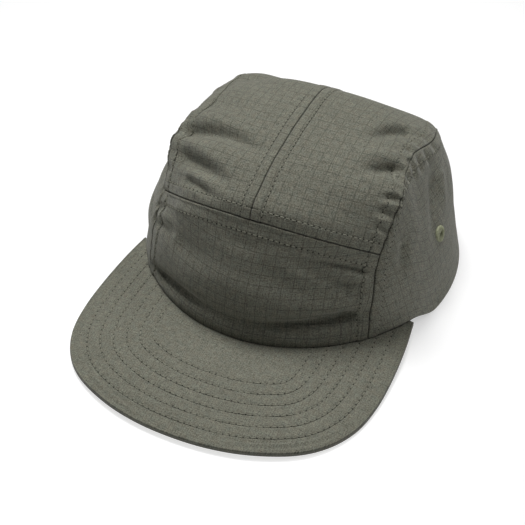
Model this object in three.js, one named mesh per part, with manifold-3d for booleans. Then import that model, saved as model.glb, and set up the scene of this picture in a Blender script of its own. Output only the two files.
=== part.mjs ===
// Five panel cap: a low front panel, two top panels, two side panels and a flat peak.
// Millimetres, +Z up, the peak points to -Y and the wearer's left is +X.
import * as THREE from 'three';
import Module from 'manifold-3d';

// Crown: the rim's oval, the crown's height and the cloth
const rimHalfWidth = 88.2;
const rimFrontLength = 94.3;
const rimBackLength = 92.3;
const crownHeight = 94.6;
const clothThickness = 1.6;
const seamGap = 0.5;
const pieceGap = 0.3;

// Shape of the crown's panels
const sideBulge = 4.2;
const sideShoulder = 1.1;
const acrossForward = 2.2;
const acrossDown = 2.1;
const foldDepth = 2.4;
const foldWidth = 6.6;

// Peak: its plan, its thickness and how it bends down to the floor
const peakHalfWidth = 85.4;
const peakDepth = 69.4;
const peakTipPlace = 41;
const peakThickness = 3.2;
const peakRise = 7.6;
const peakDroop = 4.6;
const peakSlope = 0.05;
const peakBendLength = 10;
const peakEdgeRound = 1.5;

// Eyelets in the side panels
const eyeletDiameter = 9.2;
const eyeletHole = 3;
const eyeletProud = 0.4;
const eyeletAround = 0.393;
const eyeletUp = 0.4;

// Opening at the back with its strap and slide
const archHalfWidth = 36;
const archHeight = 46;
const strapHeight = 20;
const strapThickness = 1.4;
const strapLift = 3;
const strapOverlap = 13;
const slideWidth = 12;
const slideWall = 1.6;

// Grid of each panel
const rowsToCorner = 15;
const rowsOnTop = 22;
const columnsAcross = 12;
const frontSeamRow = 10;
const cornerShare = 0.375;
const backCornerShare = 0.75;

// Seam between the side panel and the front and top panels, from the rim at the front to the
// rim at the back. Columns: share of the half width, of the front or back length, of the height
const sideSeamTable = [
  [0.726, -0.704, 0.083],
  [0.716, -0.634, 0.355],
  [0.693, -0.529, 0.566],
  [0.727, -0.328, 0.805],
  [0.675, -0.043, 0.875],
  [0.67, 0.289, 0.824],
  [0.604, 0.554, 0.719],
  [0.487, 0.77, 0.432],
  [0.351, 0.936, 0],
];

// Middle line over the front panel and along the centre seam
// Columns: share of the front or back length, share of the height
const middleTable = [
  [-1, 0.083],
  [-0.909, 0.444],
  [-0.74, 0.731],
  [-0.482, 0.926],
  [-0.134, 1],
  [0.215, 0.99],
  [0.501, 0.783],
  [0.796, 0.461],
  [1, 0],
];

// Folds and dents of the front and top panels
// Columns: along and across at the start, along and across at the end, depth share, width share
const foldTable = [
  [0.406, -0.9, 0.4, -0.38, -0.9, 0.8],
  [0.376, -0.9, 0.372, -0.32, 0.45, 0.8],
  [0.342, -0.84, 0.325, -0.3, -0.85, 0.8],
  [0.29, -0.64, 0.288, -0.46, -0.5, 0.6],
  [0.296, -0.36, 0.272, -0.24, 0.35, 0.6],
  [0.5, -0.5, 0.62, -0.4, -0.35, 1.6],
  [0.51, 0.62, 0.575, 0.8, -0.85, 0.9],
  [0.575, 0.8, 0.57, 0.9, -0.6, 0.7],
  [0.465, 0.68, 0.51, 0.9, 0.45, 0.8],
  [0.428, 0.66, 0.445, 0.9, -0.85, 0.7],
  [0.202, 0.68, 0.207, 0.9, -0.7, 0.6],
  [0.178, 0.56, 0.158, 0.84, -0.6, 0.8],
  [0.185, -0.6, 0.2, -0.8, 0.5, 1.6],
  [0.074, 0.1, 0.07, 0.84, -1, 1.1],
  [0.06, -0.8, 0.074, 0.1, -0.5, 0.8],
];

// Folds and dents of the side panels
// Columns: side (1 left, -1 right), around and up at the start, at the end, depth, width
const sideFoldTable = [
  [1, 0.13, 0.62, 0.15, 0.4, -0.5, 0.8],
  [1, 0.5, 0.82, 0.44, 0.42, -0.45, 1.6],
  [1, 0.3, 0.25, 0.62, 0.2, 0.4, 1.8],
  [-1, 0.2, 0.7, 0.22, 0.3, -0.5, 1.2],
];

// Outline of the peak from its tip to the middle of its front edge
// Columns: share of the half width, share of the way from the tip to the front edge
const peakOutlineTable = [
  [0.95, 0],
  [0.977, 0.15],
  [0.992, 0.33],
  [0.986, 0.5],
  [0.945, 0.65],
  [0.846, 0.78],
  [0.694, 0.878],
  [0.47, 0.951],
  [0.24, 0.989],
  [0, 1],
];

const clothColor = 0x7a7870;
const peakColor = 0x6e6f65;
const threadColor = 0x8c8e76;
const slideColor = 0x33342f;

const wasm = await Module();
wasm.setup();

// Helpers for curves through tables
const smooth = (value) => THREE.MathUtils.smoothstep(value, 0, 1);
const lengthAt = (share) => share * (share < 0 ? rimFrontLength : rimBackLength);
const smoothCurve = (points) => new THREE.CatmullRomCurve3(points, false, 'catmullrom', 0.5);

// Peak sheet: underside and top at a place in plan
const peakFront = rimFrontLength + peakDepth;
function rawPeakBottom(x, y) {
  const forward = Math.max(0, -y - peakTipPlace);
  const bend = (forward * forward) / (forward + peakBendLength);
  return peakRise - peakDroop * (x / peakHalfWidth) ** 4 - peakSlope * bend;
}
const tipToFront = peakFront - peakTipPlace;
const halfOutline = peakOutlineTable.map(([width, forward]) => (
  new THREE.Vector3(width * peakHalfWidth, -peakTipPlace - forward * tipToFront, 0)
));
const mirroredOutline = halfOutline.slice(0, -1).reverse()
  .map((point) => new THREE.Vector3(-point.x, point.y, 0));
const peakOutline = smoothCurve([...halfOutline, ...mirroredOutline]);
const outlineHeights = peakOutline.getPoints(160).map((point) => rawPeakBottom(point.x, point.y));
const peakLowest = Math.min(...outlineHeights);
const peakBottom = (x, y) => rawPeakBottom(x, y) - peakLowest;

// Rim height: on the peak at the front, on the floor behind the peak's tips
const tipAngle = Math.asin(Math.min(1, peakTipPlace / rimFrontLength));
const rimDropStart = 0.68;
const rimDropEnd = 0.97;
function rimHeight(x, y) {
  const innerX = x * (1 - clothThickness / rimHalfWidth);
  const seat = peakBottom(innerX, y) + peakThickness + pieceGap;
  const angle = Math.asin(THREE.MathUtils.clamp(-y / rimFrontLength, -1, 1));
  return seat * smooth((angle / tipAngle - rimDropStart) / (rimDropEnd - rimDropStart));
}

// Crown lines built from the tables
const seamPoints = sideSeamTable.map(([width, length, height]) => (
  new THREE.Vector3(width * rimHalfWidth, lengthAt(length), height * crownHeight)
));
const seamFoot = seamPoints[0];
seamFoot.y = -rimFrontLength * Math.sqrt(1 - (seamFoot.x / rimHalfWidth) ** 2);
seamFoot.z = rimHeight(seamFoot.x, seamFoot.y);
const seamEnd = seamPoints[seamPoints.length - 1];
seamEnd.y = rimBackLength * Math.sqrt(1 - (seamEnd.x / rimHalfWidth) ** 2);
const middlePoints = middleTable.map(([length, height]) => (
  new THREE.Vector3(0, lengthAt(length), height * crownHeight)
));
middlePoints[0].z = rimHeight(0, -rimFrontLength);
const sideSeam = smoothCurve(seamPoints);
const middleLine = smoothCurve(middlePoints);

// Surface of the front and top panels: along from front rim to back rim, across from -1 to 1
function stripPoint(along, across) {
  const edge = sideSeam.getPoint(along);
  const middle = middleLine.getPoint(along);
  const reach = Math.abs(across);
  const y = THREE.MathUtils.lerp(middle.y, edge.y, reach ** acrossForward);
  const z = THREE.MathUtils.lerp(middle.z, edge.z, reach ** acrossDown);
  const point = new THREE.Vector3(edge.x * across, y, z);
  if (along === 0) {
    point.y = -rimFrontLength * Math.sqrt(1 - (point.x / rimHalfWidth) ** 2);
    point.z = rimHeight(point.x, point.y);
  }
  return point;
}

// Surface of a side panel: around from front to back, up from the rim to the top seam
const frontAngle = -Math.acos(seamFoot.x / rimHalfWidth);
const backAngle = Math.acos(seamEnd.x / rimHalfWidth);
function rimPoint(around) {
  const angle = THREE.MathUtils.lerp(frontAngle, backAngle, around);
  const x = rimHalfWidth * Math.cos(angle);
  const y = (angle < 0 ? rimFrontLength : rimBackLength) * Math.sin(angle);
  return new THREE.Vector3(x, y, y < 0 ? rimHeight(x, y) : 0);
}
function sidePoint(around, up, side) {
  const top = (share) => sideSeam.getPoint(THREE.MathUtils.lerp(cornerShare, backCornerShare, share));
  const front = (share) => sideSeam.getPoint(cornerShare * share);
  const back = (share) => sideSeam.getPoint(1 - (1 - backCornerShare) * share);
  const point = rimPoint(around).multiplyScalar(1 - up);
  point.addScaledVector(top(around), up);
  point.addScaledVector(front(up), 1 - around);
  point.addScaledVector(back(up), around);
  point.addScaledVector(front(0), -(1 - around) * (1 - up));
  point.addScaledVector(back(0), -around * (1 - up));
  point.addScaledVector(front(1), -(1 - around) * up);
  point.addScaledVector(back(1), -around * up);
  const middleWeight = Math.sqrt(Math.max(0, 4 * around * (1 - around)));
  point.x += sideBulge * 4 * up * (1 - up) * middleWeight;
  point.x -= sideShoulder * Math.sin(2 * Math.PI * up) * middleWeight;
  point.x *= side;
  return point;
}

// Outward direction used for the wall's thickness, level along the rim
const levelBand = 10;
function outward(point) {
  const length = point.y < 0 ? rimFrontLength : rimBackLength;
  const height = Math.max(0, point.z - levelBand);
  return new THREE.Vector3(
    point.x / rimHalfWidth ** 2,
    point.y / length ** 2,
    height / crownHeight ** 2,
  ).normalize();
}

// Folds: each is a line on the crown with a depth and a width
const folds = [
  ...foldTable.map(([along, across, alongEnd, acrossEnd, depth, width]) => ({
    line: new THREE.Line3(stripPoint(along, across), stripPoint(alongEnd, acrossEnd)),
    depth: depth * foldDepth,
    width: width * foldWidth,
  })),
  ...sideFoldTable.map(([side, around, up, aroundEnd, upEnd, depth, width]) => ({
    line: new THREE.Line3(sidePoint(around, up, side), sidePoint(aroundEnd, upEnd, side)),
    depth: depth * foldDepth,
    width: width * foldWidth,
  })),
];
const nearest = new THREE.Vector3();
function folded(point) {
  let shift = 0;
  for (const { line, depth, width } of folds) {
    line.closestPointToPoint(point, true, nearest);
    const distance = nearest.distanceTo(point) / width;
    shift += depth * Math.exp(-distance * distance);
  }
  const rimFade = smooth((point.z - levelBand) / levelBand);
  return point.clone().addScaledVector(outward(point), shift * rimFade);
}

// Closed solid over a grid of rows and columns, with an outer and an inner layer
function gridSolid(rows, columns, pointAt) {
  const positions = [];
  const faces = [];
  const index = (layer, row, column) => (
    (layer * (rows + 1) + row) * (columns + 1) + column
  );
  for (let layer = 0; layer < 2; layer += 1) {
    for (let row = 0; row <= rows; row += 1) {
      for (let column = 0; column <= columns; column += 1) {
        positions.push(...pointAt(row, column, layer).toArray());
      }
    }
  }
  const quad = (a, b, c, d) => faces.push(a, b, c, a, c, d);
  for (let row = 0; row < rows; row += 1) {
    for (let column = 0; column < columns; column += 1) {
      quad(
        index(0, row, column),
        index(0, row, column + 1),
        index(0, row + 1, column + 1),
        index(0, row + 1, column),
      );
      quad(
        index(1, row, column),
        index(1, row + 1, column),
        index(1, row + 1, column + 1),
        index(1, row, column + 1),
      );
    }
    quad(index(0, row, 0), index(0, row + 1, 0), index(1, row + 1, 0), index(1, row, 0));
    quad(
      index(0, row, columns),
      index(1, row, columns),
      index(1, row + 1, columns),
      index(0, row + 1, columns),
    );
  }
  for (let column = 0; column < columns; column += 1) {
    quad(index(0, 0, column), index(1, 0, column), index(1, 0, column + 1), index(0, 0, column + 1));
    quad(
      index(0, rows, column),
      index(0, rows, column + 1),
      index(1, rows, column + 1),
      index(1, rows, column),
    );
  }
  return toManifold(positions, faces);
}

// Manifold solid that faces outwards
function toManifold(positions, faces) {
  const corner = (at) => new THREE.Vector3().fromArray(positions, 3 * faces[at]);
  let volume = 0;
  for (let face = 0; face < faces.length; face += 3) {
    volume += corner(face).dot(corner(face + 1).cross(corner(face + 2)));
  }
  if (volume < 0) {
    faces.reverse();
  }
  return new wasm.Manifold(new wasm.Mesh({
    numProp: 3,
    vertProperties: new Float32Array(positions),
    triVerts: new Uint32Array(faces),
  }));
}

// Panel: its surface is folded, then drawn back by half a seam gap along its sewn edges
function panelSolid(rows, columns, surfaceAt, sewn) {
  const grid = [];
  for (let row = 0; row <= rows; row += 1) {
    grid.push([]);
    for (let column = 0; column <= columns; column += 1) {
      grid[row].push(folded(surfaceAt(row, column)));
    }
  }
  const drawnBack = (row, column, rowStep, columnStep) => {
    const here = grid[row][column];
    const inside = grid[row + rowStep][column + columnStep].clone().sub(here);
    const rowNext = columnStep ? (row < rows ? row + 1 : row - 1) : row;
    const columnNext = rowStep ? (column < columns ? column + 1 : column - 1) : column;
    const along = grid[rowNext][columnNext].clone().sub(here).normalize();
    return inside.addScaledVector(along, -inside.dot(along)).setLength(seamGap / 2);
  };
  return gridSolid(rows, columns, (row, column, layer) => {
    const point = grid[row][column].clone();
    if (sewn.start && row === 0) point.add(drawnBack(row, column, 1, 0));
    if (sewn.end && row === rows) point.add(drawnBack(row, column, -1, 0));
    if (sewn.left && column === 0) point.add(drawnBack(row, column, 0, 1));
    if (sewn.right && column === columns) point.add(drawnBack(row, column, 0, -1));
    if (row === 0 && !sewn.start) point.z = grid[row][column].z;
    const inwards = layer ? clothThickness : 0;
    return point.addScaledVector(outward(grid[row][column]), -inwards);
  });
}

// Stations along the side seam, closer together towards the front
const aroundShare = (step) => (step / rowsOnTop) * (0.65 + 0.35 * (step / rowsOnTop));
const rowsInStrip = 2 * rowsToCorner + rowsOnTop;
function alongShare(row) {
  if (row <= rowsToCorner) {
    return (cornerShare * row) / rowsToCorner;
  }
  if (row <= rowsToCorner + rowsOnTop) {
    const share = aroundShare(row - rowsToCorner);
    return THREE.MathUtils.lerp(cornerShare, backCornerShare, share);
  }
  const left = rowsInStrip - row;
  return 1 - ((1 - backCornerShare) * left) / rowsToCorner;
}

// Cutter for the opening at the back
const archShape = new THREE.Shape().absellipse(0, 0, archHalfWidth, archHeight, 0, 2 * Math.PI);
const archGeometry = new THREE.ExtrudeGeometry(archShape, {
  depth: 2 * rimBackLength,
  bevelEnabled: false,
  curveSegments: 24,
});
archGeometry.rotateX(Math.PI / 2);
archGeometry.translate(0, 2 * rimBackLength + 0.3 * rimBackLength, 0);
const archCutter = fromGeometry(archGeometry);

function fromGeometry(geometry) {
  const keys = new Map();
  const positions = [];
  const place = geometry.getAttribute('position');
  const corners = geometry.index ? Array.from(geometry.index.array) : [...Array(place.count).keys()];
  const faces = corners.map((corner) => {
    const point = new THREE.Vector3().fromBufferAttribute(place, corner);
    const key = point.toArray().map((value) => Math.round(value * 1e4)).join();
    if (!keys.has(key)) {
      keys.set(key, keys.size);
      positions.push(...point.toArray());
    }
    return keys.get(key);
  });
  const kept = [];
  for (let face = 0; face < faces.length; face += 3) {
    const [a, b, c] = faces.slice(face, face + 3);
    if (a !== b && b !== c && c !== a) kept.push(a, b, c);
  }
  return toManifold(positions, kept);
}

// Front panel and top panels
const solids = {};
solids.front_panel = panelSolid(
  frontSeamRow,
  2 * columnsAcross,
  (row, column) => stripPoint(alongShare(row), column / columnsAcross - 1),
  { end: true, left: true, right: true },
);
for (const [name, side] of [['top_panel_left', 1], ['top_panel_right', -1]]) {
  solids[name] = panelSolid(
    rowsInStrip - frontSeamRow,
    columnsAcross,
    (row, column) => stripPoint(alongShare(row + frontSeamRow), (side * column) / columnsAcross),
    { start: true, left: true, right: true },
  ).subtract(archCutter);
}

// Side panels, each with a hole for its eyelet
for (const [name, eyelet, side] of [
  ['side_panel_left', 'eyelet_left', 1],
  ['side_panel_right', 'eyelet_right', -1],
]) {
  const panel = panelSolid(
    rowsToCorner,
    rowsOnTop,
    (row, column) => sidePoint(aroundShare(column), row / rowsToCorner, side),
    { end: true, left: true, right: true },
  );
  const place = folded(sidePoint(eyeletAround, eyeletUp, side));
  const axis = outward(place);
  place.addScaledVector(axis, -clothThickness / 2);
  const turn = new THREE.Quaternion().setFromUnitVectors(new THREE.Vector3(0, 1, 0), axis);
  const hole = new THREE.CylinderGeometry(
    eyeletDiameter / 2 + pieceGap,
    eyeletDiameter / 2 + pieceGap,
    10 * clothThickness,
    24,
  );
  hole.applyQuaternion(turn).translate(place.x, place.y, place.z);
  solids[name] = panel.subtract(archCutter).subtract(fromGeometry(hole));

  // Embroidered ring with a rounded face on both sides
  const ringOuter = eyeletDiameter / 2;
  const ringInner = eyeletHole / 2;
  const ringHalf = clothThickness / 2 + eyeletProud;
  const ringWidth = ringOuter - ringInner;
  const ring = new THREE.LatheGeometry([
    new THREE.Vector2(ringInner, -0.6 * ringHalf),
    new THREE.Vector2(ringInner + 0.25 * ringWidth, -ringHalf),
    new THREE.Vector2(ringInner + 0.75 * ringWidth, -ringHalf),
    new THREE.Vector2(ringOuter, -0.6 * ringHalf),
    new THREE.Vector2(ringOuter, 0.6 * ringHalf),
    new THREE.Vector2(ringInner + 0.75 * ringWidth, ringHalf),
    new THREE.Vector2(ringInner + 0.25 * ringWidth, ringHalf),
    new THREE.Vector2(ringInner, 0.6 * ringHalf),
    new THREE.Vector2(ringInner, -0.6 * ringHalf),
  ], 24);
  ring.applyQuaternion(turn).translate(place.x, place.y, place.z);
  solids[eyelet] = fromGeometry(ring);
}

// Peak: a bent sheet with a rounded outer edge, its inner margin under the crown's rim
const peakStations = 44;
const peakRows = [0, 0.3, 0.62, 0.9];
const edgeProfile = [
  [1, 0.02],
  [0.3, 0.2],
  [0, 0.5],
  [0.3, 0.8],
  [1, 0.98],
];
const sectionAt = (station) => {
  const share = station / peakStations;
  const outer = peakOutline.getPoint(share);
  const angle = THREE.MathUtils.lerp(tipAngle, Math.PI - tipAngle, share);
  const inner = new THREE.Vector3(
    (rimHalfWidth - clothThickness) * Math.cos(angle),
    -(rimFrontLength - clothThickness) * Math.sin(angle),
    0,
  );
  const span = outer.clone().sub(inner);
  const width = span.length();
  const at = (reach, level) => {
    const point = inner.clone().addScaledVector(span, reach / width);
    point.z = peakBottom(point.x, point.y) + level * peakThickness;
    return point;
  };
  const flat = width - peakEdgeRound;
  return [
    ...peakRows.map((share2) => at(share2 * flat, 0)),
    ...edgeProfile.map(([inset, level]) => at(width - inset * peakEdgeRound, level)),
    ...[...peakRows].reverse().map((share2) => at(share2 * flat, 1)),
  ];
};
const peakPositions = [];
const peakFaces = [];
const sectionSize = 2 * peakRows.length + edgeProfile.length;
for (let station = 0; station <= peakStations; station += 1) {
  for (const point of sectionAt(station)) {
    peakPositions.push(...point.toArray());
  }
}
for (let station = 0; station < peakStations; station += 1) {
  for (let side = 0; side < sectionSize; side += 1) {
    const next = (side + 1) % sectionSize;
    const here = station * sectionSize;
    const there = here + sectionSize;
    peakFaces.push(here + side, here + next, there + next, here + side, there + next, there + side);
  }
}
for (let side = 1; side < sectionSize - 1; side += 1) {
  const last = peakStations * sectionSize;
  peakFaces.push(0, side + 1, side, last, last + side, last + side + 1);
}
solids.peak = toManifold(peakPositions, peakFaces);

// Back strap and its slide follow the crown's inner face across the opening
const seamFromBack = (up) => sideSeam.getPoint(1 - (1 - backCornerShare) * up);
function upAtHeight(height) {
  let low = 0;
  let high = 1;
  for (let halving = 0; halving < 24; halving += 1) {
    const middle = (low + high) / 2;
    if (seamFromBack(middle).z < height) {
      low = middle;
    } else {
      high = middle;
    }
  }
  return low;
}
function insidePoint(reach, height, depth) {
  const up = upAtHeight(height);
  const seamAt = seamFromBack(up).x;
  const past = Math.abs(reach) - seamAt;
  const point = past <= 0
    ? stripPoint(1 - (1 - backCornerShare) * up, reach / seamAt)
    : sidePoint(1 - past / (rimHalfWidth * (backAngle - frontAngle)), up, Math.sign(reach));
  return point.addScaledVector(outward(point), -depth);
}
const strapDepth = clothThickness + 2 * pieceGap;
function strapBlock(halfLength, low, high, from, to, steps) {
  return gridSolid(4, steps, (row, column, layer) => insidePoint(
    halfLength * ((2 * column) / steps - 1),
    THREE.MathUtils.lerp(low, high, row / 4),
    layer ? to : from,
  ));
}
const strapTop = strapLift + strapHeight;
solids.back_strap = strapBlock(
  archHalfWidth + strapOverlap,
  strapLift,
  strapTop,
  strapDepth,
  strapDepth + strapThickness,
  24,
);
const slideOuter = strapBlock(
  slideWidth / 2,
  strapLift - pieceGap - slideWall,
  strapTop + pieceGap + slideWall,
  strapDepth - pieceGap - slideWall,
  strapDepth + strapThickness + pieceGap + slideWall,
  4,
);
const slideInner = strapBlock(
  slideWidth,
  strapLift - pieceGap,
  strapTop + pieceGap,
  strapDepth - pieceGap,
  strapDepth + strapThickness + pieceGap,
  8,
);
solids.strap_slide = slideOuter.subtract(slideInner);

// The assembly: one mesh with its own material for each piece
const looks = {
  peak: [peakColor, 0.9],
  eyelet_left: [threadColor, 0.7],
  eyelet_right: [threadColor, 0.7],
  strap_slide: [slideColor, 0.45],
};
const cap = new THREE.Group();
cap.name = 'five_panel_cap';
for (const [name, solid] of Object.entries(solids)) {
  const { vertProperties, triVerts } = solid.getMesh();
  const geometry = new THREE.BufferGeometry();
  geometry.setAttribute('position', new THREE.BufferAttribute(new Float32Array(vertProperties), 3));
  geometry.setIndex(new THREE.BufferAttribute(new Uint32Array(triVerts), 1));
  geometry.computeVertexNormals();
  const [color, roughness] = looks[name] ?? [clothColor, 0.9];
  const material = new THREE.MeshStandardMaterial({ color, roughness, metalness: 0 });
  const mesh = new THREE.Mesh(geometry, material);
  mesh.name = name;
  cap.add(mesh);
}

// The origin is the middle of the cap's box in plan, on the surface that it rests on
const box = new THREE.Box3().setFromObject(cap);
const middle = box.getCenter(new THREE.Vector3());
for (const mesh of cap.children) {
  mesh.position.set(-middle.x, -middle.y, -box.min.z);
}

export default cap;
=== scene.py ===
import math

import bmesh
import bpy
import numpy as np
from mathutils import Matrix, Vector


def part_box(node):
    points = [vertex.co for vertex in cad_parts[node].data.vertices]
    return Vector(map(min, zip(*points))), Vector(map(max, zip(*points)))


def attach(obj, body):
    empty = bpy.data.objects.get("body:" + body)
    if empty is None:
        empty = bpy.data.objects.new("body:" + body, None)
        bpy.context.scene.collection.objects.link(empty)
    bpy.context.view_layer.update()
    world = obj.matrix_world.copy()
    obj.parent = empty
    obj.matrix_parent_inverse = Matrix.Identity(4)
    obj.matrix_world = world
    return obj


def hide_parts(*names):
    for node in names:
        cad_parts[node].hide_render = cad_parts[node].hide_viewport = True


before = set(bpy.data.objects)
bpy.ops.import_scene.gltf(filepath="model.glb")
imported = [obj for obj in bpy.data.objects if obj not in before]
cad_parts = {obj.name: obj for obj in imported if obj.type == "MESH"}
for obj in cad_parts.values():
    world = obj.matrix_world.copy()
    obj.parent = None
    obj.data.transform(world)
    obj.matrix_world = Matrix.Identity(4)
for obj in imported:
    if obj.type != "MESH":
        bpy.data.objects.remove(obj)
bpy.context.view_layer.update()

# Peak: a flat board covered with the same cotton on both faces, joined round its rounded edge.
# Six rows of stitching, parallel to the outline, hold the cloth down on the board.

rim_half_width, rim_front, rim_back, crown_height = 88.2, 94.3, 92.3, 94.6
peak_half_width, peak_depth, peak_tip, peak_thickness = 85.4, 69.4, 41.0, 3.2
# The pattern is drawn in millimetres, with y = 0 at the crown's widest line across.
pattern_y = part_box("peak")[0][1] * 1000 + rim_front + peak_depth
tip_angle = math.asin(peak_tip / rim_front)
# Half of the outline, from the tip to the middle of the front edge: shares across and forward
outline_shares = [
    (0.95, 0), (0.977, 0.15), (0.992, 0.33), (0.986, 0.5), (0.945, 0.65),
    (0.846, 0.78), (0.694, 0.878), (0.47, 0.951), (0.24, 0.989), (0, 1),
]
peak_row_first, peak_row_step, peak_row_count, peak_stitch = 9.0, 6.9, 6, 3.4
row_depth, row_groove = 0.6, 0.5
edge_allowance, edge_drop, edge_drop_width = 5.2, 0.9, 13
wall_inset = 1.6


def through(knots, place):
    """Point at place 0..1 on a smooth curve through the knots."""
    spans = len(knots) - 1
    place = np.asarray(place, float) * spans
    index = np.clip(np.floor(place).astype(int), 0, spans - 1)
    t = (place - index)[..., None]
    ends = np.vstack([2 * knots[0] - knots[1], knots, 2 * knots[-1] - knots[-2]])
    a, b, c, d = (ends[index + step] for step in range(4))
    return 0.5 * (2 * b + (c - a) * t + (2 * a - 5 * b + 4 * c - d) * t**2
                  + (3 * b - a - 3 * c + d) * t**3)


def smooth(value):
    value = np.clip(value, 0, 1)
    return value * value * (3 - 2 * value)


def raw_bottom(x, y):
    forward = np.maximum(0, -y - peak_tip)
    return -4.6 * (x / peak_half_width) ** 4 - 0.05 * forward**2 / (forward + 10)


half_outline = [
    (across * peak_half_width, -peak_tip - forward * (rim_front + peak_depth - peak_tip))
    for across, forward in outline_shares
]
outline_knots = np.array(half_outline + [(-x, y) for x, y in half_outline[-2::-1]])
outline = through(outline_knots, np.linspace(0, 1, 401))
lowest = raw_bottom(outline[:, 0], outline[:, 1]).min()


def peak_bottom(x, y):
    return raw_bottom(x, y) - lowest


def mesh_piece(name, points, faces, **layers):
    """New object from points in pattern millimetres, with its cloth coordinates in millimetres."""
    mesh = bpy.data.meshes.new(name)
    placed = (np.asarray(points, float) + (0, pattern_y, 0)) / 1000
    mesh.from_pydata([tuple(point) for point in placed], [], faces)
    corners = np.empty(len(mesh.loops), dtype=np.int32)
    mesh.loops.foreach_get("vertex_index", corners)
    for layer_name, values in layers.items():
        layer = mesh.uv_layers.new(name=layer_name)
        layer.data.foreach_set("uv", np.asarray(values, float)[corners].ravel())
    mesh.polygons.foreach_set("use_smooth", [True] * len(mesh.polygons))
    piece = bpy.data.objects.new(name, mesh)
    bpy.context.collection.objects.link(piece)
    return piece


def grid_faces(rows, columns, closed=False, ring=False):
    """Faces of a grid of points. Closed joins its last row to its first, ring its columns too."""
    index = np.arange(rows * columns).reshape(rows, columns)
    if closed or ring:
        index = np.concatenate([index, index[:1]])
    if ring:
        index = np.concatenate([index, index[:, :1]], axis=1)
    quads = np.stack([index[:-1, :-1], index[:-1, 1:], index[1:, 1:], index[1:, :-1]], -1)
    return [tuple(int(corner) for corner in quad) for quad in quads.reshape(-1, 4)]


def sleeve_faces(rows, columns):
    """Faces of a grid that is closed into a sleeve, with a cap on each of its ends."""
    first_end = tuple(row * columns for row in range(rows))
    last_end = tuple(corner + columns - 1 for corner in first_end)
    return grid_faces(rows, columns, closed=True) + [first_end[::-1], last_end]


def turned_over(faces):
    return [face[::-1] for face in faces]


# Section of the peak from the crown outwards on top, round the edge and back underneath:
# distance in from the edge, and level from 0 below to 1 on top
round_edge = 1.3
turn_angles = np.linspace(0.5 * math.pi, -0.5 * math.pi, 19)[1:-1]
edge_turn = [
    (round_edge * (1 - math.cos(turn) ** 0.7),
     0.5 + 0.5 * math.copysign(abs(math.sin(turn)) ** 0.7, math.sin(turn)))
    for turn in turn_angles
]
flat_stations = np.linspace(0, 1, 121) ** 0.93
stations_along = np.linspace(0, 1, 371)
outer = through(outline_knots, stations_along)
inner_angles = tip_angle + (math.pi - 2 * tip_angle) * stations_along
inner = np.stack([(rim_half_width - wall_inset) * np.cos(inner_angles),
                  -(rim_front - wall_inset) * np.sin(inner_angles)], -1)
span = np.linalg.norm(outer - inner, axis=1)
inset_rows = [(span - round_edge) * (1 - share) + round_edge for share in flat_stations]
levels = [1.0] * len(inset_rows) + [level for _, level in edge_turn] + [0.0] * len(inset_rows)
insets = np.array(inset_rows + [np.full_like(span, inset) for inset, _ in edge_turn]
                  + inset_rows[::-1])
flat_points = outer + (inner - outer) * (insets / span)[..., None]


def distance_to_outline(points):
    gaps = [np.linalg.norm(points - corner, axis=-1) for corner in outline[::2]]
    return np.minimum.reduce(gaps)


edge_distance = distance_to_outline(flat_points)
walked = np.concatenate([[0], np.cumsum(np.linalg.norm(np.diff(outer, axis=0), axis=1))])
row_place = (edge_distance - peak_row_first) / peak_row_step
nearest_row = np.clip(np.round(row_place), 0, peak_row_count - 1)
off_row = edge_distance - (peak_row_first + nearest_row * peak_row_step)
# Each stitch pulls its row down, and the turned cloth stands up as far as its own width.
pulled = 0.75 + 0.25 * np.cos(2 * math.pi * walked / peak_stitch)[None, :]
quilting = -row_depth * np.exp(-(off_row / row_groove) ** 2) * pulled
allowance = 0.22 * (1 - smooth((edge_distance - edge_allowance) / 1.4))
x, y = flat_points[..., 0], flat_points[..., 1]
slack = 0.09 * np.sin(x / 9.3 + 1.3 * np.sin(y / 11)) * np.sin(y / 7.1 + np.sin(x / 13.7))
roll_over = -edge_drop * (1 - smooth(edge_distance / edge_drop_width))
near_edge = 1 - smooth((edge_distance - 5) / 4)
creases = np.sin(edge_distance * 1.7 + 2 * np.sin(walked / 23)[None, :])
tension = 0.22 * creases * near_edge * (0.5 + 0.5 * np.sin(walked / 17 + 1)[None, :])
relief = (quilting + allowance + slack + tension) * smooth((edge_distance - 0.4) / 2) + roll_over
levels = np.array(levels)[:, None]
on_a_face = np.sign(levels - 0.5) * (np.abs(levels - 0.5) > 0.49)
z = peak_bottom(x, y) + levels * peak_thickness + relief * on_a_face
z = np.maximum(z, 0)
# A fine groove runs round the edge where the two cloths meet.
welt = 0.35 * np.exp(-((levels - 0.42) / 0.07) ** 2)
edge_normal = (outer - inner) / span[:, None]
x = x - welt * edge_normal[:, 0]
y = y - welt * edge_normal[:, 1]
peak_points = np.stack([x, y, z], -1)
side_shift = np.where(levels < 0.5, 300, 0) * np.ones_like(x)
peak_piece = mesh_piece(
    "peak_cloth_cover", peak_points.reshape(-1, 3), sleeve_faces(*peak_points.shape[:2]),
    weave=np.stack([x + side_shift, y + (1 - levels) * 4], -1).reshape(-1, 2),
    # sewn: distance in from the edge and from the nearest row, where the material paints shade.
    sewn=np.stack([insets, np.abs(off_row)], -1).reshape(-1, 2),
)


# Cotton of mixed olive and grey yarns in a plain weave
def socket(node, name, value):
    node.inputs[name].default_value = value


def new_material(name, color, roughness):
    material = bpy.data.materials.new(name)
    material.use_nodes = True
    nodes = material.node_tree.nodes
    shader = nodes["Principled BSDF"]
    socket(shader, "Base Color", (*color, 1))
    socket(shader, "Roughness", roughness)
    return material, nodes, material.node_tree.links, shader


def math_node(nodes, links, operation, *values):
    node = nodes.new("ShaderNodeMath")
    node.operation = operation
    for index, value in enumerate(values):
        if isinstance(value, (int, float)):
            node.inputs[index].default_value = value
        else:
            links.new(value, node.inputs[index])
    return node.outputs[0]


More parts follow.
